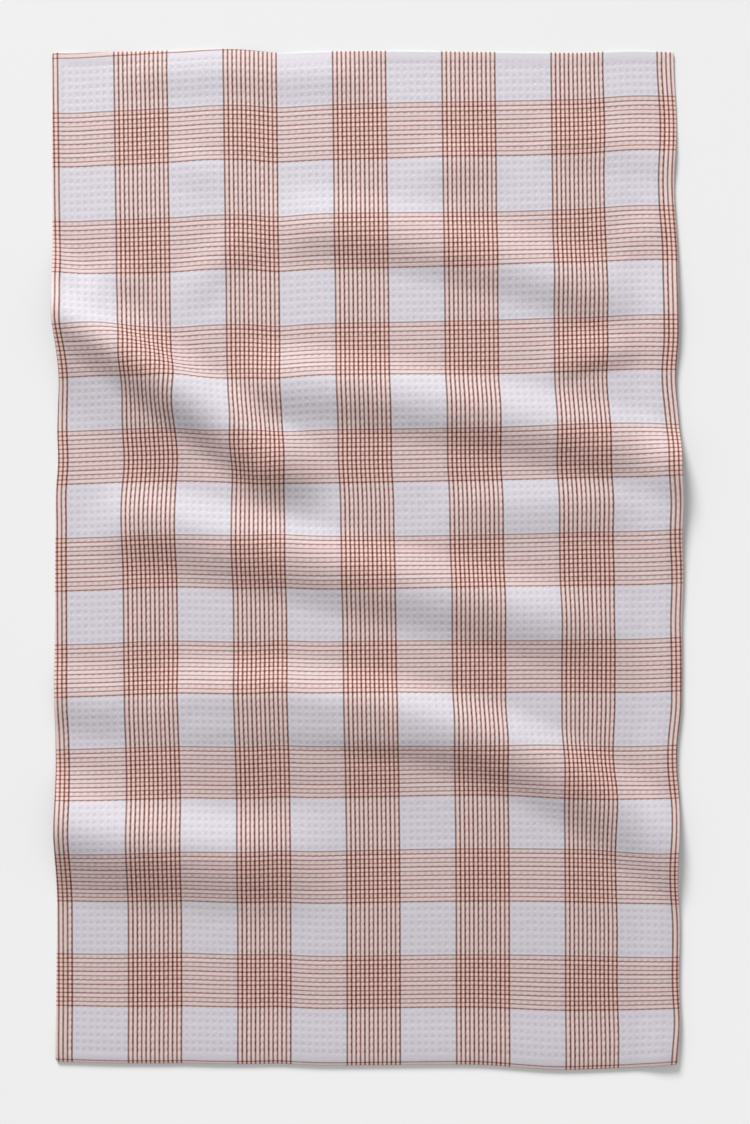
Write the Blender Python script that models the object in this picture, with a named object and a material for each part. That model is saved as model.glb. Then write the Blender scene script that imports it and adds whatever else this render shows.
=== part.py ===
"""A waffle-weave tea towel, laid face up on a flat surface with soft folds across it.

The towel is one hemmed piece of cloth. Its folds are a table of low ridges, and the cloth's
plan follows from them: every thread keeps its woven length, so the hems draw in where the cloth rises.
X runs across the towel, Y along it and Z up, from the surface that it lies on.
"""

import bpy
import numpy as np
from mathutils import Matrix, Vector

MM = 0.001

# The flat cut, hemmed: about 17 by 28 inches.
CLOTH_WIDTH = 431 * MM
CLOTH_LENGTH = 704 * MM
CLOTH_THICKNESS = 1.5 * MM

# A narrow turned hem goes round all four sides and stands a little higher than the cloth.
HEM_WIDTH = 5 * MM
HEM_STEP = 2 * MM
HEM_THICKNESS = 1.7 * MM

# Grid cells across the cloth, and along its three stretches from the lower hem up.
CELLS_ACROSS = 30
FOLDED_FROM = 122 * MM
FOLDED_TO = 612 * MM
CELLS_LOWER = 8
CELLS_FOLDED = 62
CELLS_UPPER = 7

# One row for each fold, in millimetres on the flat cloth. "across" is measured from the left hem and
# "up" from the lower hem. The crest runs from start to end, bowed sideways by "bow" in its middle.
# "rise" is the crest's height, "upper" and "lower" are the runs of its two slopes, left and right of
# its direction, and "fade" is the length over which it dies out at each end.
FOLD_COLUMNS = (
    "start_across", "start_up", "end_across", "end_up", "bow",
    "rise_start", "rise_middle", "rise_end", "upper", "lower", "fade_in", "fade_out",
)
FOLDS = {
    "left_diagonal": (-14, 553, 192, 391, -4, 7, 10.5, 11.5, 32, 34, 0, 55),
    "left_diagonal_shoulder": (-14, 524, 128, 436, 0, 11, 7, 2, 28, 60, 0, 60),
    "left_upper_step": (14, 548, 72, 545, 0, 1, 1.6, 2.6, 22, 26, 20, 30),
    "right_middle": (110, 482, 447, 414, 10, 5.2, 6.7, 5, 32, 34, 50, 0),
    "centre": (16, 386, 424, 290, 2, 5.2, 7.3, 4.6, 32, 38, 50, 104),
    "long_bow": (40, 249, 449, 136, 47, 4.5, 9.4, 5.8, 32, 39, 50, 0),
    "long_bow_apron": (60, 223, 285, 211, 8, 2.5, 3, 2, 22, 46, 40, 80),
    "lower_left": (-14, 161, 232, 146, -7, 10.5, 8.2, 3.2, 36, 51, 0, 110),
    "lower_left_shoulder": (-14, 184, 125, 161, 0, 7.5, 2.4, 2, 30, 46, 0, 70),
    "upper_right": (130, 588, 427, 518, 14, 3.5, 4.7, 5.4, 33, 29, 60, 80),
    "upper_elbow": (76, 524, 146, 586, 0, 1, 1.3, 1.5, 22, 22, 35, 30),
    "right_crease": (328, 482, 430, 502, 3, 2.5, 2.8, 0.6, 24, 16, 45, 45),
    "right_upper_swell": (395, 530, 449, 527, 0, 2.5, 3, 3.5, 48, 56, 45, 0),
    "right_middle_tail": (388, 417, 449, 411, 0, 5, 6, 6, 34, 84, 48, 0),
    "right_ripple": (250, 388, 425, 388, 2, 2.5, 2.5, 3, 22, 30, 50, 60),
    "left_ripple": (-17, 260, 76, 245, 0, 4, 4, 4, 30, 30, 0, 45),
    "upper_left_dimple": (72, 636, 128, 608, 0, 1.2, 1.2, 1.2, 18, 20, 30, 30),
    "top_swell": (30, 688, 235, 686, 2, 1.4, 1.8, 1.4, 18, 22, 40, 40),
    "upper_right_dimple": (235, 626, 325, 626, 2, 1.5, 1.8, 1.5, 24, 24, 45, 45),
    "top_right_dimple": (325, 644, 446, 628, 3, 1.6, 1.3, 2.2, 26, 24, 30, 0),
    "right_upper_dimple": (385, 580, 432, 574, 0, 1, 1.3, 1, 20, 26, 22, 25),
    "right_hem_lift": (425, -30, 425, 640, 0, 2.2, 2.2, 1.8, 26, 40, 0, 70),
    "lower_hem_lift": (-30, 9, 460, 9, 0, 1.2, 1.5, 1.7, 34, 15, 0, 0),
}

# Where the laid hems bulge or draw in, in millimetres: the middle of the stretch, measured as above,
# its reach to each side, the depth inwards over which the shift dies out, and the outward shift.
WANDER_COLUMNS = ("side", "middle", "reach", "depth", "shift")
WANDERS = {
    "right_top_draw": ("right", 700, 60, 90, -2.4),
    "right_upper_draw": ("right", 612, 56, 90, -2.4),
    "right_crease_draw": ("right", 478, 34, 90, -1.6),
    "right_middle_bulge": ("right", 400, 46, 90, 1.6),
    "right_low_middle_bulge": ("right", 340, 40, 90, 1.4),
    "right_lower_draw": ("right", 216, 40, 90, -3.0),
    "right_bow_draw": ("right", 140, 78, 90, -3.6),
    "right_bottom_draw": ("right", 62, 48, 90, -2.2),
    "right_corner_draw": ("right", 0, 40, 60, -3.0),
    "left_upper_bulge": ("left", 476, 46, 90, -0.8),
    "left_lower_bulge": ("left", 265, 190, 90, 1.2),
    "top_left_rise": ("top", 94, 88, 420, 4.4),
    "top_middle_rise": ("top", 245, 150, 150, 1.8),
    "bottom_left_drop": ("bottom", 80, 90, 90, 1.2),
    "bottom_bulge": ("bottom", 345, 62, 90, 3.0),
    "bottom_corner_draw": ("bottom", 436, 46, 90, -2.4),
}

CLOTH_COLOUR = (0.53, 0.43, 0.42, 1.0)
CLOTH_ROUGHNESS = 0.9


def clear_scene():
    """Take away every object of the file that this runs in."""
    for scene_object in list(bpy.data.objects):
        bpy.data.objects.remove(scene_object, do_unlink=True)


def ease(share):
    """Half a cosine wave from 0 to 1, level at both ends."""
    return 0.5 - 0.5 * np.cos(np.pi * np.clip(share, 0.0, 1.0))


def fade(distance, length):
    """1 along a crest, easing to 0 over `length` at its end, or 1 throughout where length is 0."""
    return ease(distance / length) if length > 0.0 else np.ones_like(distance)


def fold_height(across, up, fold):
    """Height of one fold: a half-cosine slope on each side of a crest line bowed as a parabola."""
    start = np.array([fold["start_across"], fold["start_up"]]) * MM
    chord = np.array([fold["end_across"], fold["end_up"]]) * MM - start
    length = np.hypot(*chord)
    along_x, along_y = chord / length
    along = (across - start[0]) * along_x + (up - start[1]) * along_y
    aside = (up - start[1]) * along_x - (across - start[0]) * along_y
    share = np.clip(along / length, 0.0, 1.0)
    bow = 4.0 * fold["bow"] * MM
    lean = bow * (1.0 - 2.0 * share) / length
    off_crest = (aside - bow * share * (1.0 - share)) / np.hypot(1.0, lean)
    run = np.where(off_crest > 0.0, fold["upper"], fold["lower"]) * MM
    rise = (
        (1.0 - share) * (1.0 - 2.0 * share) * fold["rise_start"]
        + 4.0 * share * (1.0 - share) * fold["rise_middle"]
        + share * (2.0 * share - 1.0) * fold["rise_end"]
    ) * MM
    ends = fade(along, fold["fade_in"] * MM) * fade(length - along, fold["fade_out"] * MM)
    return rise * ends * ease(1.0 - np.abs(off_crest) / run)


def cloth_height(across, up):
    """Height of the cloth's underside: the sum of its folds, and 0 where it lies on the surface."""
    height = np.zeros_like(across)
    for row in FOLDS.values():
        height += fold_height(across, up, dict(zip(FOLD_COLUMNS, row)))
    return height


def cell_means(values, axis):
    """Mean of each pair of neighbours along an axis."""
    lower = np.take(values, range(values.shape[axis] - 1), axis)
    upper = np.take(values, range(1, values.shape[axis]), axis)
    return 0.5 * (lower + upper)


def slide(turns, steps):
    """Where each thread sits, from its turn in each cell: the running sum, centred on 0."""
    place = np.concatenate([[0.0], np.cumsum(turns * steps)])
    return place - place.mean()


def cloth_plan(columns, rows, height):
    """Plan of the cloth's grid, from the height of its points.

    A thread is as long over a fold as it is flat, so a step of it covers, in plan, the square root of
    1 less its slope squared. Each thread also slides whole, by the amount that leaves the angles
    between the two sets of threads as near square as they can be.
    """
    step_x = np.diff(columns)
    step_y = np.diff(rows)
    slope_x = np.diff(height, axis=1) / step_x
    slope_y = np.diff(height, axis=0) / step_y[:, None]
    x = np.pad(np.cumsum(np.sqrt(1.0 - slope_x**2) * step_x, axis=1), ((0, 0), (1, 0)))
    y = np.pad(np.cumsum(np.sqrt(1.0 - slope_y**2) * step_y[:, None], axis=0), ((1, 0), (0, 0)))
    x -= x.mean(axis=1, keepdims=True)
    y -= y.mean(axis=0, keepdims=True)
    shear = cell_means(np.diff(x, axis=0), 1) / step_y[:, None]
    shear += cell_means(np.diff(y, axis=1), 0) / step_x
    shear += cell_means(slope_x, 0) * cell_means(slope_y, 1)
    half_mean = 0.5 * np.average(np.average(shear, axis=1, weights=step_x), weights=step_y)
    weft_turn = half_mean - np.average(shear, axis=1, weights=step_x)
    warp_turn = half_mean - np.average(shear, axis=0, weights=step_y)
    return x + slide(weft_turn, step_y)[:, None], y + slide(warp_turn, step_x)


def hem_wander(across, up):
    """Outward shift of the laid cloth near its hems, as X and Y: a half-cosine hump for each row."""
    sides = {
        "right": (across.max() - across, up, 1.0, 0.0),
        "left": (across, up, -1.0, 0.0),
        "top": (up.max() - up, across, 0.0, 1.0),
        "bottom": (up, across, 0.0, -1.0),
    }
    shift_x = np.zeros_like(across)
    shift_y = np.zeros_like(across)
    for row in WANDERS.values():
        wander = dict(zip(WANDER_COLUMNS, row))
        inwards, along, out_x, out_y = sides[wander["side"]]
        hump = ease(1.0 - np.abs(along - wander["middle"] * MM) / (wander["reach"] * MM))
        hump *= ease(1.0 - inwards / (wander["depth"] * MM)) * wander["shift"] * MM
        shift_x += out_x * hump
        shift_y += out_y * hump
    return shift_x, shift_y


def hem_lines(total, inner):
    """Grid lines from edge to edge: the hem and its step at both ends, `inner` lines between."""
    step_line = HEM_WIDTH + HEM_STEP
    start = np.array([0.0, HEM_WIDTH])
    end = np.array([total - HEM_WIDTH, total])
    return np.concatenate([start, [step_line], inner, [total - step_line], end])


def grid_lines():
    """The grid's lines across the cloth and along it, closer together where it is folded."""
    inner_edge = HEM_WIDTH + HEM_STEP
    across = np.linspace(inner_edge, CLOTH_WIDTH - inner_edge, CELLS_ACROSS + 1)[1:-1]
    lower = np.linspace(inner_edge, FOLDED_FROM, CELLS_LOWER + 1)[1:]
    folded = np.linspace(FOLDED_FROM, FOLDED_TO, CELLS_FOLDED + 1)[1:]
    upper = np.linspace(FOLDED_TO, CLOTH_LENGTH - inner_edge, CELLS_UPPER + 1)[1:-1]
    along = np.concatenate([lower, folded, upper])
    return hem_lines(CLOTH_WIDTH, across), hem_lines(CLOTH_LENGTH, along)


def hem_points(column_count, row_count):
    """Index of every grid point on the hem: the two outer lines on each side."""
    outer = np.ones((row_count, column_count), dtype=bool)
    outer[2:-2, 2:-2] = False
    return np.flatnonzero(outer).tolist()


def underside_mesh(columns, rows):
    """The cloth's underside as a grid of four-sided faces that look up into the cloth."""
    across, up = np.meshgrid(columns, rows)
    height = cloth_height(across, up)
    x, y = cloth_plan(columns, rows, height)
    shift_x, shift_y = hem_wander(across, up)
    points = np.stack([x + shift_x, y + shift_y, height], axis=-1).reshape(-1, 3)
    index = np.arange(len(points)).reshape(x.shape)
    corners = (index[:-1, :-1], index[:-1, 1:], index[1:, 1:], index[1:, :-1])
    faces = np.stack(corners, axis=-1).reshape(-1, 4)
    mesh = bpy.data.meshes.new("towel_cloth")
    mesh.from_pydata(points.tolist(), [], faces.tolist())
    mesh.shade_smooth()
    return mesh


def cloth_material():
    """Washed cotton: dull, in the check's mean colour."""
    material = bpy.data.materials.new("washed_cotton")
    material.use_nodes = True
    shader = material.node_tree.nodes["Principled BSDF"]
    shader.inputs["Base Color"].default_value = CLOTH_COLOUR
    shader.inputs["Roughness"].default_value = CLOTH_ROUGHNESS
    shader.inputs["Metallic"].default_value = 0.0
    return material


def centre_on_origin(towel):
    """Put the middle of the towel's box at X 0, Y 0 and leave its height as it is."""
    graph = bpy.context.evaluated_depsgraph_get()
    corners = [Vector(corner) for corner in towel.evaluated_get(graph).bound_box]
    middle = sum(corners, Vector()) / len(corners)
    towel.data.transform(Matrix.Translation((-middle.x, -middle.y, 0.0)))


def build_towel():
    """The hemmed cloth: its underside, thickened upwards, and thicker in the hem."""
    columns, rows = grid_lines()
    towel = bpy.data.objects.new("towel_cloth", underside_mesh(columns, rows))
    bpy.context.scene.collection.objects.link(towel)
    towel.data.materials.append(cloth_material())
    hem = towel.vertex_groups.new(name="hem")
    hem.add(hem_points(len(columns), len(rows)), 1.0, "REPLACE")
    thicken = towel.modifiers.new("cloth_thickness", "SOLIDIFY")
    thicken.thickness = HEM_THICKNESS
    thicken.offset = 1.0
    thicken.vertex_group = hem.name
    thicken.thickness_vertex_group = CLOTH_THICKNESS / HEM_THICKNESS
    centre_on_origin(towel)
    return towel


clear_scene()
build_towel()
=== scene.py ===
"""The looks of a waffle-weave tea towel, laid face up on a pale surface and seen from straight above.

The cloth is one closed skin with every waffle pit sunk into it, laid over the same table of folds
as its solid. A woven check of fine red-brown lines follows the threads, which run a little off the
hems. The cloth is worked out in millimetres and becomes metres in its mesh.
"""

import bmesh
import bpy
import numpy as np
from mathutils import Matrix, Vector


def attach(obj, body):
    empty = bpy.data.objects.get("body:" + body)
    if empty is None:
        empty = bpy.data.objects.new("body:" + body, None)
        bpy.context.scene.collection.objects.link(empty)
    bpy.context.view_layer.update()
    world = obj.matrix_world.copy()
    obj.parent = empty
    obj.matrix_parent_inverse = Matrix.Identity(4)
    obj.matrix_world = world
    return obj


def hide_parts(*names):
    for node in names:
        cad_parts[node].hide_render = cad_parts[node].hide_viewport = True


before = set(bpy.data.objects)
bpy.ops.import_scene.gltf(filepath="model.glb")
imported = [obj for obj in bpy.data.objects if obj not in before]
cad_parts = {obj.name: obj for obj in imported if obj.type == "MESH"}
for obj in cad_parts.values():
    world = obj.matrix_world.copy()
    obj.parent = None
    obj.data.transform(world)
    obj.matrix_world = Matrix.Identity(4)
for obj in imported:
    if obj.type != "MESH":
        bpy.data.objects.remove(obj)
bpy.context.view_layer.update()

MM = 0.001
MATH = "ShaderNodeMath"

# The flat cut, hemmed.
CLOTH_WIDTH = 431.0
CLOTH_LENGTH = 704.0
CLOTH_THICKNESS = 1.5
CORNER_RADIUS = 2.0

# The turned hem, and the step from it down to the cloth. Its insets are the distances in from the
# edge at which lines of points run round the cloth, closest together where the edge is rounded.
HEM_WIDTH = 5.0
HEM_STEP = 2.0
HEM_THICKNESS = 1.7
HEM_INSETS = (0.0, 0.14, 0.52, 1.05, 2.0, 3.5, 5.0)

# One row for each fold, in millimetres on the flat cloth, as the solid has them. "across" is measured
# from the left hem and "up" from the lower hem. The crest runs from start to end, bowed sideways by
# "bow" in its middle. "rise" is the crest's height, "upper" and "lower" are the runs of its two slopes,
# left and right of its direction, and "fade" is the length over which it dies out at each end.
FOLD_COLUMNS = (
    "start_across", "start_up", "end_across", "end_up", "bow",
    "rise_start", "rise_middle", "rise_end", "upper", "lower", "fade_in", "fade_out",
)
FOLDS = {
    "left_diagonal": (-14, 553, 192, 391, -4, 7, 10.5, 11.5, 32, 34, 0, 55),
    "left_diagonal_shoulder": (-14, 524, 128, 436, 0, 11, 7, 2, 28, 60, 0, 60),
    "left_upper_step": (14, 548, 72, 545, 0, 1, 1.6, 2.6, 22, 26, 20, 30),
    "right_middle": (110, 482, 447, 414, 10, 5.2, 6.7, 5, 32, 34, 50, 0),
    "centre": (16, 386, 424, 290, 2, 5.2, 7.3, 4.6, 32, 38, 50, 104),
    "long_bow": (40, 249, 449, 136, 47, 4.5, 9.4, 5.8, 32, 39, 50, 0),
    "long_bow_apron": (60, 223, 285, 211, 8, 2.5, 3, 2, 22, 46, 40, 80),
    "lower_left": (-14, 161, 232, 146, -7, 10.5, 8.2, 3.2, 36, 51, 0, 110),
    "lower_left_shoulder": (-14, 184, 125, 161, 0, 7.5, 2.4, 2, 30, 46, 0, 70),
    "upper_right": (130, 588, 427, 518, 14, 3.5, 4.7, 5.4, 33, 29, 60, 80),
    "upper_elbow": (76, 524, 146, 586, 0, 1, 1.3, 1.5, 22, 22, 35, 30),
    "right_crease": (328, 482, 430, 502, 3, 2.5, 2.8, 0.6, 24, 16, 45, 45),
    "right_upper_swell": (395, 530, 449, 527, 0, 2.5, 3, 3.5, 48, 56, 45, 0),
    "right_middle_tail": (388, 417, 449, 411, 0, 5, 6, 6, 34, 84, 48, 0),
    "right_ripple": (250, 388, 425, 388, 2, 2.5, 2.5, 3, 22, 30, 50, 60),
    "left_ripple": (-17, 260, 76, 245, 0, 4, 4, 4, 30, 30, 0, 45),
    "upper_left_dimple": (72, 636, 128, 608, 0, 1.2, 1.2, 1.2, 18, 20, 30, 30),
    "top_swell": (30, 688, 235, 686, 2, 1.4, 1.8, 1.4, 18, 22, 40, 40),
    "upper_right_dimple": (235, 626, 325, 626, 2, 1.5, 1.8, 1.5, 24, 24, 45, 45),
    "top_right_dimple": (325, 644, 446, 628, 3, 1.6, 1.3, 2.2, 26, 24, 30, 0),
    "right_upper_dimple": (385, 580, 432, 574, 0, 1, 1.3, 1, 20, 26, 22, 25),
    "right_hem_lift": (425, -30, 425, 640, 0, 2.2, 2.2, 1.8, 26, 40, 0, 70),
    "lower_hem_lift": (-30, 9, 460, 9, 0, 1.2, 1.5, 1.7, 34, 15, 0, 0),
}

# Where the laid hems bulge or draw in, in millimetres: the middle of the stretch, measured as above,
# its reach to each side, the depth inwards over which the shift dies out, and the outward shift.
WANDER_COLUMNS = ("side", "middle", "reach", "depth", "shift")
WANDERS = {
    "right_top_draw": ("right", 700, 60, 90, -2.4),
    "right_upper_draw": ("right", 612, 56, 90, -2.4),
    "right_crease_draw": ("right", 478, 34, 90, -1.6),
    "right_middle_bulge": ("right", 400, 46, 90, 1.6),
    "right_low_middle_bulge": ("right", 340, 40, 90, 1.4),
    "right_lower_draw": ("right", 216, 40, 90, -3.0),
    "right_bow_draw": ("right", 140, 78, 90, -3.6),
    "right_bottom_draw": ("right", 62, 48, 90, -2.2),
    "right_corner_draw": ("right", 0, 40, 60, -3.0),
    "left_upper_bulge": ("left", 476, 46, 90, -0.8),
    "left_lower_bulge": ("left", 265, 190, 90, 1.2),
    "top_left_rise": ("top", 94, 88, 420, 4.4),
    "top_middle_rise": ("top", 245, 150, 150, 1.8),
    "bottom_left_drop": ("bottom", 80, 90, 90, 1.2),
    "bottom_bulge": ("bottom", 345, 62, 90, 3.0),
    "bottom_corner_draw": ("bottom", 436, 46, 90, -2.4),
}

# Spacing of the grid on which the laid cloth is worked out.
DRAPE_STEP = 1.5

# The woven check: bands of 13 lines both ways. The cloth was cut a little off its threads, so the
# margins outside the first and last bands differ from one end of a hem to the other.
LINE_PITCH = 3.03
LINES_IN_BAND = 13
BAND_WIDTH = LINE_PITCH * (LINES_IN_BAND - 1)
WARP_REPEAT = 75.3
WEFT_REPEAT = 74.0
WEFT_REPEATS = 8
LEFT_MARGIN_LOWER = 50.5
LEFT_MARGIN_UPPER = 42.6
UPPER_MARGIN_LEFT = 41.5
UPPER_MARGIN_RIGHT = 30.1
LOWER_MARGIN_LEFT = 39.1
LOWER_MARGIN_RIGHT = 41.0
# The weave is a little opener towards the upper hem: the middle bands lie this much low.
WEFT_DRIFT = 4.0
# Rounds of correction that find an undrifted place, and a crossing of two threads.
DRIFT_ROUNDS = 3
CROSSING_ROUNDS = 4
# A coloured line's half width, and half the width over which its edge softens.
WARP_LINE_HALF = 0.6
WARP_LINE_SOFT = 0.35
WEFT_LINE_HALF = 0.45
WEFT_LINE_SOFT = 0.3

PIT_WIDTH = WARP_REPEAT / 16
PIT_LENGTH = WEFT_REPEAT / 15
PIT_DEPTH = 0.32
# Pits differ in depth. The spread and the limits are shares of that depth.
PIT_SPREAD = 0.18
PIT_SHALLOWEST = 0.4
PIT_DEEPEST = 1.6
PIT_SEED = 7
# A pit's floor starts this share of the cell in from its ribs.
PIT_FLOOR = 0.28
# The shortest side of a cell beside the hem that still holds a pit.
PIT_LEAST = 1.6
# In the finish, in millimetres: how far a pit's two sides lean apart, and a line sways round a pit.
PIT_LEAN = 0.35
THREAD_SWAY = 0.07

# Points of the mesh closer than this, in metres, are one.
WELD = 1e-6
# A length too small to matter, in millimetres.
TRIFLE = 1e-6

# The yarn's unevenness, in patches to the millimetre. Yarn is about 0.3 mm thick, too fine to show
# from above, so its patches are drawn more than 1 mm across. A slub's patch is about 9 mm long.
YARN_PATCHES = 0.75
SLUB_PATCHES = 0.11
YARN_RELIEF = 0.12

# How strongly a line is coloured: on a rib, and what a pit and a slub add.
LINE_ON_RIB = 0.70
LINE_IN_PIT = 0.32
LINE_BY_SLUB = 0.3

# The cloth's brightness: on a rib, the painted shade a pit adds, darkening its colour as if shaded, and
# what the yarn adds.
TONE_ON_RIB = 0.92
PAINTED_SHADE_IN_PIT = -0.15
TONE_BY_YARN = 0.14

# Cotton's own surface.
COTTON_ROUGHNESS = 0.6
COTTON_SHEEN = 0.05
COTTON_SPECULAR = 0.35

# The surface under the towel, in metres. Its colour carries painted shade, darker towards the key,
# changing over this reach each way from the middle.
SURFACE_HALF = 6.0
SURFACE_PAINTED_SHADE_REACH = 0.5
SURFACE_ROUGHNESS = 0.9

# The key light, in metres and watts, and the fill from all round.
KEY_AZIMUTH = np.radians(111.0)
KEY_ELEVATION = np.radians(28.0)
KEY_DISTANCE = 3.8
KEY_SIZE = 1.3
KEY_POWER = 186.0
FILL_STRENGTH = 0.51

# The picture: 750 by 1124 pixels, 0.69 mm to a pixel on the surface.
PIXEL = 0.69 * MM
PICTURE_LENGTH = 1124 * PIXEL
PICTURE_CENTRE = (5.2 * MM, -1.9 * MM)
# The camera: its lens, its sensor along the picture's length, and how many metres it sees.
LENS = 46.4
SENSOR = 36.0
SIGHT = 50.0


def ease(share):
    """Half a cosine wave from 0 to 1, level at both ends."""
    return 0.5 - 0.5 * np.cos(np.pi * np.clip(share, 0.0, 1.0))


def fade(distance, length):
    """1 along a crest, easing to 0 over `length` at its end, or 1 throughout where length is 0."""
    return ease(distance / length) if length > 0.0 else np.ones_like(distance)


def fold_height(across, up, fold):
    """Height of one fold: a half-cosine slope on each side of a crest line bowed as a parabola.

    Its rise is a parabola through the three given rises, and eases to nothing over its fades.
    """
    start = np.array([fold["start_across"], fold["start_up"]], dtype=float)
    chord = np.array([fold["end_across"], fold["end_up"]]) - start
    length = np.hypot(*chord)
    along_x, along_y = chord / length
    along = (across - start[0]) * along_x + (up - start[1]) * along_y
    aside = (up - start[1]) * along_x - (across - start[0]) * along_y
    share = np.clip(along / length, 0.0, 1.0)
    bow = 4.0 * fold["bow"]
    lean = bow * (1.0 - 2.0 * share) / length
    off_crest = (aside - bow * share * (1.0 - share)) / np.hypot(1.0, lean)
    run = np.where(off_crest > 0.0, fold["upper"], fold["lower"])
    rise = (
        (1.0 - share) * (1.0 - 2.0 * share) * fold["rise_start"]
        + 4.0 * share * (1.0 - share) * fold["rise_middle"]
        + share * (2.0 * share - 1.0) * fold["rise_end"]
    )
    ends = fade(along, fold["fade_in"]) * fade(length - along, fold["fade_out"])
    return rise * ends * ease(1.0 - np.abs(off_crest) / run)


def cloth_height(across, up):
    """Height of the cloth's underside: the sum of its folds, and 0 where it lies on the surface."""
    height = np.zeros_like(across)
    for row in FOLDS.values():
        height += fold_height(across, up, dict(zip(FOLD_COLUMNS, row)))
    return height


def cell_means(values, axis):
    """Mean of each pair of neighbours along an axis."""
    lower = np.take(values, range(values.shape[axis] - 1), axis)
    upper = np.take(values, range(1, values.shape[axis]), axis)
    return 0.5 * (lower + upper)


def slide(turns, steps):
    """Where each thread sits, from its turn in each cell: the running sum, centred on 0."""
    place = np.concatenate([[0.0], np.cumsum(turns * steps)])
    return place - place.mean()


def cloth_plan(columns, rows, height):
    """Plan of the cloth's grid, as X and Y.

    Each thread keeps its length, so a step shortens by the root of 1 less its slope squared. The
    threads then slide along themselves by their cells' mean shear, to cross as squarely as they can.
    """
    step_x = np.diff(columns)
    step_y = np.diff(rows)
    slope_x = np.diff(height, axis=1) / step_x
    slope_y = np.diff(height, axis=0) / step_y[:, None]
    x = np.pad(np.cumsum(np.sqrt(1.0 - slope_x**2) * step_x, axis=1), ((0, 0), (1, 0)))
    y = np.pad(np.cumsum(np.sqrt(1.0 - slope_y**2) * step_y[:, None], axis=0), ((1, 0), (0, 0)))
    x -= x.mean(axis=1, keepdims=True)
    y -= y.mean(axis=0, keepdims=True)
    shear = cell_means(np.diff(x, axis=0), 1) / step_y[:, None]
    shear += cell_means(np.diff(y, axis=1), 0) / step_x
    shear += cell_means(slope_x, 0) * cell_means(slope_y, 1)
    half_mean = 0.5 * np.average(np.average(shear, axis=1, weights=step_x), weights=step_y)
    weft_turn = half_mean - np.average(shear, axis=1, weights=step_x)
    warp_turn = half_mean - np.average(shear, axis=0, weights=step_y)
    return x + slide(weft_turn, step_y)[:, None], y + slide(warp_turn, step_x)


def hem_wander(across, up):
    """Outward shift of the laid cloth near its hems, as X and Y: a half-cosine hump for each row."""
    sides = {
        "right": (across.max() - across, up, 1.0, 0.0),
        "left": (across, up, -1.0, 0.0),
        "top": (up.max() - up, across, 0.0, 1.0),
        "bottom": (up, across, 0.0, -1.0),
    }
    shift_x = np.zeros_like(across)
    shift_y = np.zeros_like(across)
    for row in WANDERS.values():
        wander = dict(zip(WANDER_COLUMNS, row))
        inwards, along, out_x, out_y = sides[wander["side"]]
        hump = ease(1.0 - np.abs(along - wander["middle"]) / wander["reach"])
        hump *= ease(1.0 - inwards / wander["depth"]) * wander["shift"]
        shift_x += out_x * hump
        shift_y += out_y * hump
    return shift_x, shift_y


def laid_cloth():
    """The cloth's underside and its upward normals, on an even grid of places on the flat cloth."""
    columns = np.linspace(0.0, CLOTH_WIDTH, round(CLOTH_WIDTH / DRAPE_STEP) + 1)
    rows = np.linspace(0.0, CLOTH_LENGTH, round(CLOTH_LENGTH / DRAPE_STEP) + 1)
    across, up = np.meshgrid(columns, rows)
    height = cloth_height(across, up)
    x, y = cloth_plan(columns, rows, height)
    shift_x, shift_y = hem_wander(across, up)
    places = np.stack([x + shift_x, y + shift_y, height], axis=-1)
    normals = np.cross(np.gradient(places, axis=1), np.gradient(places, axis=0))
    normals /= np.linalg.norm(normals, axis=-1, keepdims=True)
    return places, normals


def read_grid(grid, across, up):
    """Value of an even grid over the flat cloth at any place, by straight lines between its points."""
    row_count, column_count = grid.shape[:2]
    column = np.clip(across / CLOTH_WIDTH, 0.0, 1.0) * (column_count - 1)
    row = np.clip(up / CLOTH_LENGTH, 0.0, 1.0) * (row_count - 1)
    left = np.minimum(column.astype(int), column_count - 2)
    low = np.minimum(row.astype(int), row_count - 2)
    part_x = (column - left)[..., None]
    part_y = (row - low)[..., None]
    lower = (1.0 - part_x) * grid[low, left] + part_x * grid[low, left + 1]
    upper = (1.0 - part_x) * grid[low + 1, left] + part_x * grid[low + 1, left + 1]
    return (1.0 - part_y) * lower + part_y * upper


def left_margin(up):
    """From the left hem to the first upright line, at a height on the cloth."""
    return LEFT_MARGIN_LOWER + (LEFT_MARGIN_UPPER - LEFT_MARGIN_LOWER) * up / CLOTH_LENGTH


def weft_rule(across):
    """The upper margin and the stretch of the level lines' repeat, at a place across the cloth."""
    share = across / CLOTH_WIDTH
    upper = UPPER_MARGIN_LEFT + (UPPER_MARGIN_RIGHT - UPPER_MARGIN_LEFT) * share
    lower = LOWER_MARGIN_LEFT + (LOWER_MARGIN_RIGHT - LOWER_MARGIN_LEFT) * share
    repeat = (CLOTH_LENGTH - upper - lower - BAND_WIDTH) / WEFT_REPEATS
    return upper, repeat / WEFT_REPEAT


def weft_drift(down):
    """How far below even spacing a weft lies: a half wave from the upper hem to the lower one."""
    return WEFT_DRIFT * np.sin(np.pi * np.clip(down / CLOTH_LENGTH, 0.0, 1.0))


def thread_place(across, up):
    """Place in the weave: right of the first upright line, and down from the first level line."""
    upper, stretch = weft_rule(across)
    even = CLOTH_LENGTH - up
    for _ in range(DRIFT_ROUNDS):
        even = CLOTH_LENGTH - up - weft_drift(even)
    return across - left_margin(up), (even - upper) / stretch


def up_on_weft(across, weft):
    """Height on the cloth at which a weft thread passes a place across it."""
    upper, stretch = weft_rule(across)
    even = upper + weft * stretch
    return CLOTH_LENGTH - even - weft_drift(even)


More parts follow.
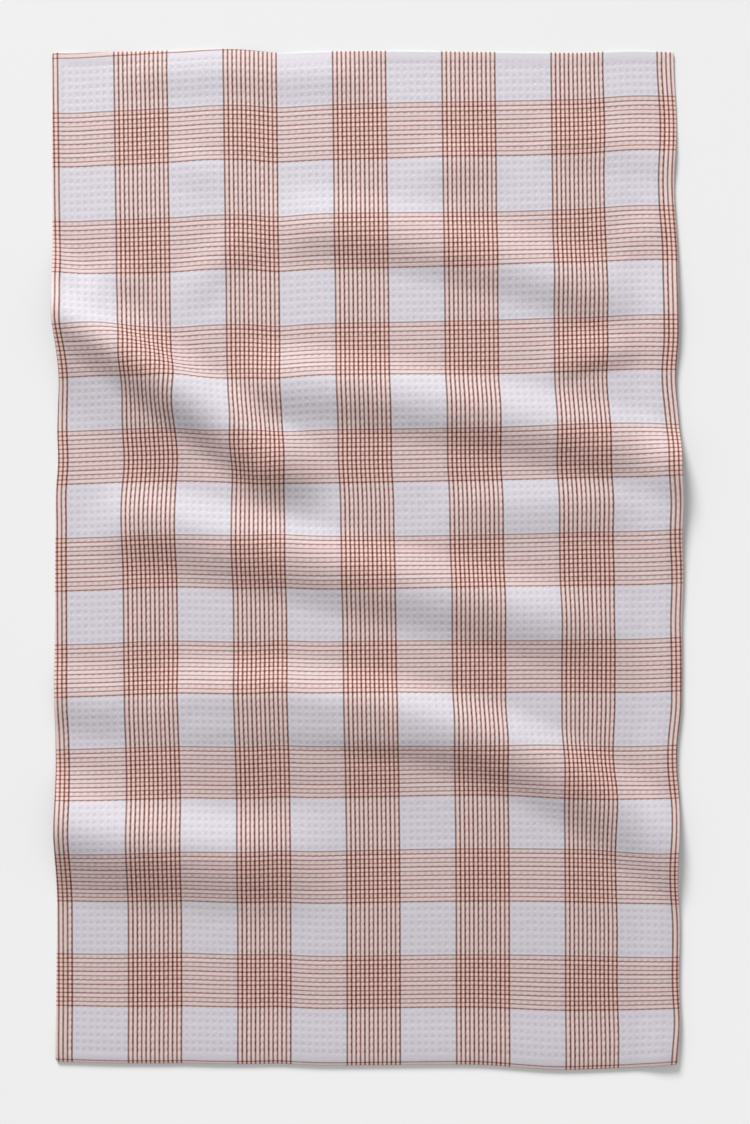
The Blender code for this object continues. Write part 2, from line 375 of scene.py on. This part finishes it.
def rib_crossings():
    """Flat places of the waffle's rib crossings, row by row down the cloth.

    The ribs follow the threads. Those past the inner line of the hem stop on it, where they coincide.
    """
    inner = HEM_WIDTH + HEM_STEP
    reach_left = np.ceil(LEFT_MARGIN_LOWER / PIT_WIDTH)
    reach_right = np.ceil((CLOTH_WIDTH - LEFT_MARGIN_UPPER) / PIT_WIDTH)
    reach_up = np.ceil(UPPER_MARGIN_LEFT / PIT_LENGTH)
    reach_down = np.ceil((CLOTH_LENGTH - UPPER_MARGIN_RIGHT) / PIT_LENGTH)
    warps = np.arange(-reach_left, reach_right + 1) * PIT_WIDTH
    wefts = np.arange(-reach_up, reach_down + 1) * PIT_LENGTH
    warp, weft = np.meshgrid(warps, wefts)
    up = CLOTH_LENGTH - UPPER_MARGIN_LEFT - weft
    for _ in range(CROSSING_ROUNDS):
        across = warp + left_margin(up)
        up = up_on_weft(across, weft)
    across = np.clip(across, inner, CLOTH_WIDTH - inner)
    up = up_on_weft(across, weft)
    past = (up < inner) | (up > CLOTH_LENGTH - inner)
    up = np.clip(up, inner, CLOTH_LENGTH - inner)
    across = np.where(past, np.clip(warp + left_margin(up), inner, CLOTH_WIDTH - inner), across)
    return across, up


def with_hem_lines(across, up):
    """Add the hem's own lines round the rib crossings, from its inner edge out to the cloth's edge."""
    for inset in reversed(HEM_INSETS):
        left = np.full((len(across), 1), inset)
        across = np.hstack([left, across, CLOTH_WIDTH - left])
        up = np.hstack([up[:, :1], up, up[:, -1:]])
        upper = np.full((1, up.shape[1]), CLOTH_LENGTH - inset)
        across = np.vstack([across[:1], across, across[-1:]])
        up = np.vstack([upper, up, np.full_like(upper, inset)])
    return across, up


def edge_inset(across, up):
    """Distance in from the nearest edge of the flat cloth."""
    sides = np.minimum(across, CLOTH_WIDTH - across)
    return np.maximum(np.minimum(sides, np.minimum(up, CLOTH_LENGTH - up)), 0.0)


def rounded_corners(across, up):
    """Draw each square corner in to a quarter circle: its square rings become round ones."""
    half = np.array([CLOTH_WIDTH, CLOTH_LENGTH]) / 2
    place = np.stack([across, up], axis=-1) - half
    past = np.abs(place) - (half - CORNER_RADIUS)
    in_corner = (past > 0.0).all(axis=-1)
    longest = past.max(axis=-1)
    from_centre = np.maximum(np.linalg.norm(past, axis=-1), TRIFLE)
    drawn = past * (longest / from_centre)[..., None]
    moved = np.sign(place) * (half - CORNER_RADIUS + drawn)
    place = np.where(in_corner[..., None], moved, place) + half
    return place[..., 0], place[..., 1]


def skin(drape, across, up, inset, sunk):
    """Points of the cloth's face, sunk below its ribs by `sunk`, or of its back where that is None.

    A point is the underside pushed along its normal. The edge is a half circle as thick as the hem,
    so face and back meet on it, and the face steps down from the hem to the cloth by a half cosine.
    """
    places, normals = drape
    round_edge = HEM_THICKNESS / 2
    bulge = np.sqrt(round_edge**2 - np.clip(round_edge - inset, 0.0, round_edge) ** 2)
    step = HEM_THICKNESS - CLOTH_THICKNESS
    face = round_edge + bulge - step * ease((inset - HEM_WIDTH) / HEM_STEP)
    lift = round_edge - bulge if sunk is None else face - sunk
    drawn_across, drawn_up = rounded_corners(across, up)
    foot = read_grid(places, drawn_across, drawn_up)
    return foot + lift[..., None] * read_grid(normals, drawn_across, drawn_up)


def waffle_pits(across, up, inset):
    """Which cells between crossings hold a pit, its four floor corners' flat places, and their depth.

    A floor corner is read between its cell's corners. A cell cut short by the hem is less deep.
    """
    wide = np.minimum(across[:-1, 1:] - across[:-1, :-1], across[1:, 1:] - across[1:, :-1])
    long = np.minimum(up[:-1, :-1] - up[1:, :-1], up[:-1, 1:] - up[1:, 1:])
    inner = inset > HEM_WIDTH + HEM_STEP - TRIFLE
    pitted = inner[:-1, :-1] & inner[:-1, 1:] & inner[1:, 1:] & inner[1:, :-1]
    pitted &= (wide > PIT_LEAST) & (long > PIT_LEAST)

    def within(values, share_x, share_y):
        """Values inside each pitted cell, these shares of the way across it and down it."""
        top = (1 - share_x) * values[:-1, :-1] + share_x * values[:-1, 1:]
        low = (1 - share_x) * values[1:, :-1] + share_x * values[1:, 1:]
        return ((1 - share_y) * top + share_y * low)[pitted]

    far = 1.0 - PIT_FLOOR
    shares = ((PIT_FLOOR, PIT_FLOOR), (far, PIT_FLOOR), (far, far), (PIT_FLOOR, far))
    floor_across = np.stack([within(across, *share) for share in shares])
    floor_up = np.stack([within(up, *share) for share in shares])
    uneven = 1.0 + np.random.default_rng(PIT_SEED).normal(0.0, PIT_SPREAD, floor_across.shape[1])
    depth = PIT_DEPTH * np.clip(uneven, PIT_SHALLOWEST, PIT_DEEPEST) * np.ones_like(floor_across)
    depth *= np.minimum(wide / PIT_WIDTH, long / PIT_LENGTH)[pitted]
    return pitted, floor_across, floor_up, depth


def quads(a, b, c, d):
    """Four-sided faces from four equal arrays of corners."""
    return np.stack([a, b, c, d], axis=-1).reshape(-1, 4)


def cloth_faces(pitted):
    """Faces of the cloth, by the numbers of their points: the face's, then the back's, then the floors'.

    A cell of the face is one quad, or a pit's floor with four walls up to its ribs.
    """
    shape = (pitted.shape[0] + 1, pitted.shape[1] + 1)
    index = np.arange(shape[0] * shape[1]).reshape(shape)
    top_left, top_right = index[:-1, :-1], index[:-1, 1:]
    low_left, low_right = index[1:, :-1], index[1:, 1:]
    plain = ~pitted
    rim = (top_left[pitted], top_right[pitted], low_right[pitted], low_left[pitted])
    floor = 2 * index.size + np.arange(4 * len(rim[0])).reshape(4, -1)
    faces = [
        quads(low_left[plain], low_right[plain], top_right[plain], top_left[plain]),
        quads(*(corner + index.size for corner in (top_left, top_right, low_right, low_left))),
        quads(floor[3], floor[2], floor[1], floor[0]),
    ]
    for side in range(4):
        after = (side + 1) % 4
        faces.append(quads(rim[after], rim[side], floor[side], floor[after]))
    return np.concatenate(faces)


def cloth_points():
    """Every point and face of the cloth, with its place in the weave and its distance from the edge.

    The distance counts as negative on the back.
    """
    across, up = with_hem_lines(*rib_crossings())
    inset = edge_inset(across, up)
    pitted, floor_across, floor_up, depth = waffle_pits(across, up, inset)
    floor_inset = edge_inset(floor_across, floor_up)
    drape = laid_cloth()
    face = skin(drape, across, up, inset, np.zeros_like(inset))
    back = skin(drape, across, up, inset, None)
    floors = skin(drape, floor_across, floor_up, floor_inset, depth)
    points = np.concatenate([part.reshape(-1, 3) for part in (face, back, floors)])
    flat_across = np.concatenate([across.ravel(), across.ravel(), floor_across.ravel()])
    flat_up = np.concatenate([up.ravel(), up.ravel(), floor_up.ravel()])
    flat_inset = np.concatenate([inset.ravel(), -inset.ravel(), floor_inset.ravel()])
    weave = np.stack([*thread_place(flat_across, flat_up), flat_inset], axis=-1)
    return points * MM, cloth_faces(pitted), weave


def build_cloth():
    """The cloth as one closed mesh, its middle over the origin."""
    points, faces, weave = cloth_points()
    middle = 0.5 * (points.min(axis=0) + points.max(axis=0))
    points -= [middle[0], middle[1], 0.0]
    mesh = bpy.data.meshes.new("waffle_cloth")
    mesh.from_pydata(points.tolist(), [], faces.tolist())
    place = mesh.attributes.new("weave", "FLOAT_VECTOR", "POINT")
    place.data.foreach_set("vector", weave.astype(np.float32).ravel())
    joined = bmesh.new()
    joined.from_mesh(mesh)
    bmesh.ops.remove_doubles(joined, verts=joined.verts, dist=WELD)
    joined.to_mesh(mesh)
    joined.free()
    mesh.shade_smooth()
    cloth = bpy.data.objects.new("waffle_cloth", mesh)
    bpy.context.scene.collection.objects.link(cloth)
    return cloth


def linear(hex_colour, gain=1.0):
    """An sRGB hex colour as linear red, green, blue and 1, the first three times a gain."""
    parts = np.array([int(hex_colour[i : i + 2], 16) for i in (1, 3, 5)]) / 255.0
    bright = ((parts + 0.055) / 1.055) ** 2.4
    return (*(gain * np.where(parts > 0.04045, bright, parts / 12.92)).tolist(), 1.0)


def add_node(tree, kind, feeds, out=0, **settings):
    """Add a node with its settings, feed its sockets from values or other outputs, give one output."""
    made = tree.nodes.new(kind)
    for name, value in settings.items():
        setattr(made, name, value)
    for socket, source in feeds.items():
        if isinstance(source, bpy.types.NodeSocket):
            tree.links.new(source, made.inputs[socket])
        else:
            made.inputs[socket].default_value = source
    return made.outputs[out]


def band_masks(tree, place, repeat, line_half, line_soft):
    """Where a band of the check lies and where its lines do, along one direction of the weave.

    The place is wrapped to one repeat. A band is all within half its width of its middle, and a line
    is all within its half width of a whole number of pitches.
    """
    shifted = add_node(tree, MATH, {0: place, 1: LINE_PITCH / 2}, operation="ADD")
    in_repeat = add_node(tree, MATH, {0: shifted, 1: repeat}, operation="FLOORED_MODULO")
    middle = LINES_IN_BAND * LINE_PITCH / 2
    ground = add_node(
        tree, MATH, {0: in_repeat, 1: middle, 2: BAND_WIDTH / 2}, operation="COMPARE"
    )
    lined = add_node(tree, MATH, {0: in_repeat, 1: middle, 2: middle}, operation="COMPARE")
    off_gap = add_node(tree, MATH, {0: in_repeat, 1: LINE_PITCH / 2}, operation="PINGPONG")
    line = add_node(
        tree,
        "ShaderNodeMapRange",
        {
            "Value": off_gap,
            "From Min": LINE_PITCH / 2 - line_half - line_soft,
            "From Max": LINE_PITCH / 2 - line_half + line_soft,
        },
        interpolation_type="SMOOTHSTEP",
    )
    return ground, add_node(tree, MATH, {0: line, 1: lined}, operation="MULTIPLY")


def thread_wave(tree, place, period):
    """Sine and cosine of a place within the waffle's cell: 0 on a rib, half a turn in a pit."""
    turn = add_node(tree, MATH, {0: place, 1: 2.0 * np.pi / period}, operation="MULTIPLY")
    return tuple(add_node(tree, MATH, {0: turn}, operation=kind) for kind in ("SINE", "COSINE"))


def waffle_cells(tree, warp, weft, inset):
    """Where the pits lie, 0 on the ribs to 1 in a pit's middle, and the threads' places as they sway.

    A pit is the product of two raised cosines, the one along the cloth squared, and none is in the hem.
    """
    sine_x, cosine_x = thread_wave(tree, warp, PIT_WIDTH)
    leant = add_node(tree, MATH, {0: sine_x, 1: -PIT_LEAN, 2: weft}, operation="MULTIPLY_ADD")
    sine_y, cosine_y = thread_wave(tree, leant, PIT_LENGTH)
    wide = add_node(tree, MATH, {0: cosine_x, 1: -0.5, 2: 0.5}, operation="MULTIPLY_ADD")
    long = add_node(tree, MATH, {0: cosine_y, 1: -0.5, 2: 0.5}, operation="MULTIPLY_ADD")
    narrow = add_node(tree, MATH, {0: long, 1: 2.0}, operation="POWER")
    pit = add_node(tree, MATH, {0: wide, 1: narrow}, operation="MULTIPLY")
    depth_in = add_node(tree, MATH, {0: inset}, operation="ABSOLUTE")
    body = add_node(
        tree,
        "ShaderNodeMapRange",
        {"Value": depth_in, "From Min": HEM_WIDTH, "From Max": HEM_WIDTH + HEM_STEP},
    )
    pit = add_node(tree, MATH, {0: pit, 1: body}, operation="MULTIPLY")
    sways = []
    for place, sine, cosine in ((warp, sine_x, cosine_y), (weft, sine_y, cosine_x)):
        sway = add_node(tree, MATH, {0: sine, 1: cosine}, operation="MULTIPLY")
        sway = add_node(tree, MATH, {0: sway, 1: THREAD_SWAY, 2: place}, operation="MULTIPLY_ADD")
        sways.append(sway)
    return pit, *sways


def waffle_cotton():
    """Waffle cotton woven from dyed yarns, then washed.

    Washing leaves it matt and soft to the eye, with hardly any gloss. The pits carry painted shade:
    their colour is a little darker than the ribs'. The off-white is cool, the bands are warmer between
    their lines, and each line is beaded: fuller in the pits than on the ribs.
    """
    material = bpy.data.materials.new("washed_waffle_cotton")
    material.use_nodes = True
    tree = material.node_tree
    shader = tree.nodes["Principled BSDF"]
    weave = add_node(tree, "ShaderNodeAttribute", {}, out="Vector", attribute_name="weave")
    warp, weft, inset = add_node(tree, "ShaderNodeSeparateXYZ", {"Vector": weave}).node.outputs
    pit, swayed_warp, swayed_weft = waffle_cells(tree, warp, weft, inset)
    yarn, slub = (
        add_node(
            tree,
            "ShaderNodeTexNoise",
            {"Vector": weave, "Scale": patches, "Detail": detail},
            out="Fac",
        )
        for patches, detail in ((YARN_PATCHES, 1.0), (SLUB_PATCHES, 2.0))
    )

    # Where the bands and their lines lie, a line being as strong as its yarn shows.
    warp_ground, warp_line = band_masks(
        tree, swayed_warp, WARP_REPEAT, WARP_LINE_HALF, WARP_LINE_SOFT
    )
    weft_ground, weft_line = band_masks(
        tree, swayed_weft, WEFT_REPEAT, WEFT_LINE_HALF, WEFT_LINE_SOFT
    )
    shown = add_node(tree, MATH, {0: pit, 1: LINE_IN_PIT, 2: LINE_ON_RIB}, operation="MULTIPLY_ADD")
    shown = add_node(tree, MATH, {0: slub, 1: LINE_BY_SLUB, 2: shown}, operation="MULTIPLY_ADD")
    warp_line, weft_line = (
        add_node(tree, MATH, {0: line, 1: shown}, operation="MULTIPLY", use_clamp=True)
        for line in (warp_line, weft_line)
    )
    both_grounds = add_node(tree, MATH, {0: warp_ground, 1: weft_ground}, operation="MULTIPLY")
    crossing = add_node(tree, MATH, {0: warp_line, 1: weft_line}, operation="MULTIPLY")

    # The off-white ground is multiplied by each tint in turn, where its mask lies.
    colour = linear("#c8c3ca")
    for mask, tint in (
        (warp_ground, linear("#f9e6db", 1.235)),
        (weft_ground, linear("#f5e4dc", 1.21)),
        (both_grounds, linear("#f5fbff", 1.06)),
        (weft_line, linear("#a88476")),
        (warp_line, linear("#7b442d")),
        (crossing, linear("#e79f8b")),
    ):
        colour = add_node(
            tree,
            "ShaderNodeMix",
            {0: mask, 6: colour, 7: tint},
            out=2,
            data_type="RGBA",
            blend_type="MULTIPLY",
        )
    # Painted shade: each pit's colour is darkened below the ribs', as if shaded.
    tone = add_node(tree, MATH, {0: pit, 1: PAINTED_SHADE_IN_PIT, 2: TONE_ON_RIB}, operation="MULTIPLY_ADD")
    tone = add_node(tree, MATH, {0: yarn, 1: TONE_BY_YARN, 2: tone}, operation="MULTIPLY_ADD")
    colour = add_node(
        tree, "ShaderNodeVectorMath", {0: colour, "Scale": tone}, operation="SCALE"
    )
    tree.links.new(colour, shader.inputs["Base Color"])

    # The yarn's fine relief, and pits on the back, where the mesh has none.
    on_back = add_node(tree, MATH, {0: inset, 1: 0.0}, operation="LESS_THAN")
    height = add_node(tree, MATH, {0: pit, 1: on_back}, operation="MULTIPLY")
    height = add_node(tree, MATH, {0: height, 1: -PIT_DEPTH}, operation="MULTIPLY")
    height = add_node(tree, MATH, {0: yarn, 1: YARN_RELIEF, 2: height}, operation="MULTIPLY_ADD")
    bump = add_node(tree, "ShaderNodeBump", {"Height": height, "Distance": MM}, out="Normal")
    tree.links.new(bump, shader.inputs["Normal"])
    shader.inputs["Roughness"].default_value = COTTON_ROUGHNESS
    shader.inputs["Sheen Weight"].default_value = COTTON_SHEEN
    shader.inputs["Specular IOR Level"].default_value = COTTON_SPECULAR
    return material


def matt_board():
    """Board painted matt off-white.

    It has no gloss. Its colour is painted a little darker towards the key, as painted shade that evens
    out the key's stronger light there, so the eye sees an even pale grey.
    """
    material = bpy.data.materials.new("pale_board")
    material.use_nodes = True
    tree = material.node_tree
    shader = tree.nodes["Principled BSDF"]
    place = add_node(tree, "ShaderNodeTexCoord", {}, out="Object")
    # Painted shade: the colour darkens towards the key to even out its light on the surface.
    towards_key = (np.cos(KEY_AZIMUTH), np.sin(KEY_AZIMUTH), 0.0)
    nearness = add_node(
        tree,
        "ShaderNodeVectorMath",
        {0: place, 1: towards_key},
        out="Value",
        operation="DOT_PRODUCT",
    )
    share = add_node(
        tree,
        "ShaderNodeMapRange",
        {"Value": nearness, "From Min": -SURFACE_PAINTED_SHADE_REACH, "From Max": SURFACE_PAINTED_SHADE_REACH},
    )
    tone = add_node(
        tree,
        "ShaderNodeMix",
        {0: share, 6: linear("#f5f5f5"), 7: linear("#d1d1d1")},
        out=2,
        data_type="RGBA",
    )
    tree.links.new(tone, shader.inputs["Base Color"])
    shader.inputs["Roughness"].default_value = SURFACE_ROUGHNESS
    return material


def build_surface():
    """The pale surface that the towel lies on: one level square."""
    half = SURFACE_HALF
    corners = [(-half, -half, 0.0), (half, -half, 0.0), (half, half, 0.0), (-half, half, 0.0)]
    mesh = bpy.data.meshes.new("pale_surface")
    mesh.from_pydata(corners, [], [(0, 1, 2, 3)])
    surface = bpy.data.objects.new("pale_surface", mesh)
    bpy.context.scene.collection.objects.link(surface)
    mesh.materials.append(matt_board())


def light_scene():
    """A soft key from the towel's upper end, a little to its left, and an even fill from all round."""
    key = bpy.data.lights.new("key", "AREA")
    key.shape = "DISK"
    key.size = KEY_SIZE
    key.energy = KEY_POWER
    lamp = bpy.data.objects.new("key", key)
    bpy.context.scene.collection.objects.link(lamp)
    level = KEY_DISTANCE * np.cos(KEY_ELEVATION)
    height = KEY_DISTANCE * np.sin(KEY_ELEVATION)
    place = Vector((level * np.cos(KEY_AZIMUTH), level * np.sin(KEY_AZIMUTH), height))
    lamp.location = place
    lamp.rotation_euler = (-place).to_track_quat("-Z", "Y").to_euler()
    world = bpy.data.worlds.new("even_fill")
    world.use_nodes = True
    background = world.node_tree.nodes["Background"]
    background.inputs["Color"].default_value = linear("#ffffff")
    background.inputs["Strength"].default_value = FILL_STRENGTH
    bpy.context.scene.world = world
    bpy.context.scene.view_settings.view_transform = "Standard"


def place_camera():
    """Straight above, about a metre up, with the towel's length upright on the picture."""
    camera = bpy.data.cameras.new("camera")
    camera.lens = LENS
    camera.sensor_width = SENSOR
    camera.clip_end = SIGHT
    seen_from = bpy.data.objects.new("camera", camera)
    bpy.context.scene.collection.objects.link(seen_from)
    seen_from.location = (*PICTURE_CENTRE, PICTURE_LENGTH * LENS / SENSOR)
    bpy.context.scene.camera = seen_from


towel = build_cloth()
towel.data.materials.append(waffle_cotton())
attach(towel, "root")
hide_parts("towel_cloth")
build_surface()
light_scene()
place_camera()
